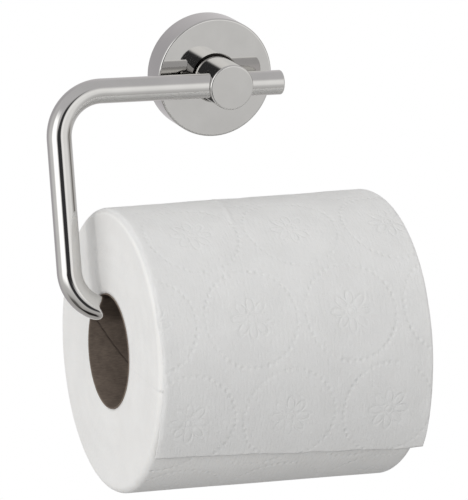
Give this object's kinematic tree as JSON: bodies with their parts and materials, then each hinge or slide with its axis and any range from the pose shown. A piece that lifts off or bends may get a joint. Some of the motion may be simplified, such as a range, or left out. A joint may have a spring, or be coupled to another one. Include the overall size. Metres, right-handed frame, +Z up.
{
  "type": "toilet paper holder",
  "caption": "Wall-mounted toilet paper holder: a round rose and short post carry a swinging bent-rod arm on which a paper roll hangs and turns.",
  "frame": {"origin": "centre of the rose's back, on the wall's surface", "axes": "+X to the right along the arm's turning axis, +Y into the wall, +Z up"},
  "size_m": [0.1396, 0.1443, 0.1801],
  "materials": {
    "zinc_plate": "cast zinc, satin",
    "screw_steel": "zinc-plated steel",
    "polished_nickel": "polished, nickel-chrome plated brass",
    "polished_nickel_post": "polished, nickel-chrome plated brass",
    "polished_nickel_rod": "polished, nickel-chrome plated rod",
    "black_oxide_steel": "black oxide",
    "grey_cardboard": "matt wound cardboard",
    "wound_tissue": "matt soft tissue, embossed",
    "tissue_sheet": "matt soft tissue, embossed"
  },
  "bodies": {
    "wall_mount": {"wall_bracket": "zinc_plate", "wall_screws": "screw_steel", "rose": "polished_nickel", "rose_grub_screw": "black_oxide_steel", "post": "polished_nickel_post", "post_screw": "screw_steel", "lock_washer": "screw_steel", "arm_retaining_screw": "black_oxide_steel"},
    "arm": {"hanger_arm": "polished_nickel_rod"},
    "roll": {"cardboard_core": "grey_cardboard", "paper_roll": "wound_tissue", "loose_outer_turn": "tissue_sheet"}
  },
  "joints": [
    {"name": "arm_swing", "type": "hinge", "parent": "wall_mount", "child": "arm", "pos_m": [0, -0.02735, 0], "axis": [-1, 0, 0], "range_deg": [0, 144]},
    {"name": "roll_spin", "type": "hinge", "parent": "arm", "child": "roll", "pos_m": [0, -0.05869, -0.0989], "axis": [-0.9995, -0.0308, 0.0098], "continuous": true}
  ]
}
